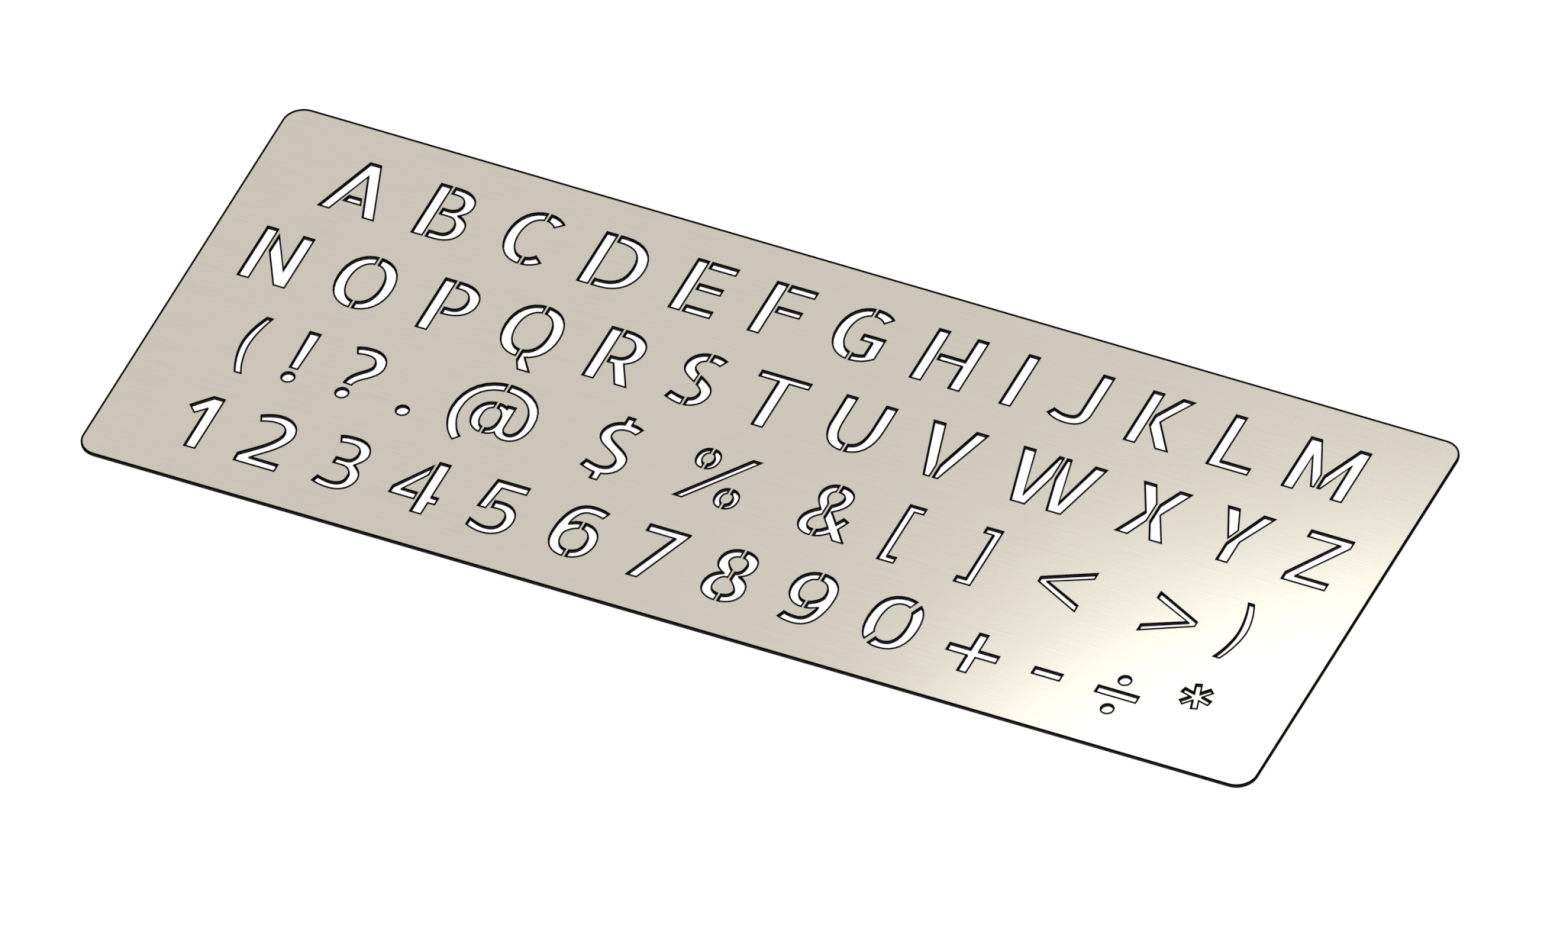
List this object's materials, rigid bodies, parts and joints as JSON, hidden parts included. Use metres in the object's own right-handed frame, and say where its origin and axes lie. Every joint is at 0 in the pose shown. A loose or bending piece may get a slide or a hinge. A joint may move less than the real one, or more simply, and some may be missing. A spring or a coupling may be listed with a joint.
{
  "type": "lettering stencil",
  "caption": "Thin flat metal stencil sheet with rounded corners and rows of cut-out capitals, signs and figures for lettering by hand.",
  "frame": {"origin": "centre of the sheet's underside", "axes": "+X along the rows in reading direction, +Y towards the first row, +Z out of the readable face"},
  "size_m": [0.254, 0.1, 0.0005],
  "materials": {
    "satin_sheet": "satin, with a warm tone and dark cut edges"
  },
  "bodies": {
    "root": {"stencil_sheet": "satin_sheet"}
  },
  "joints": []
}
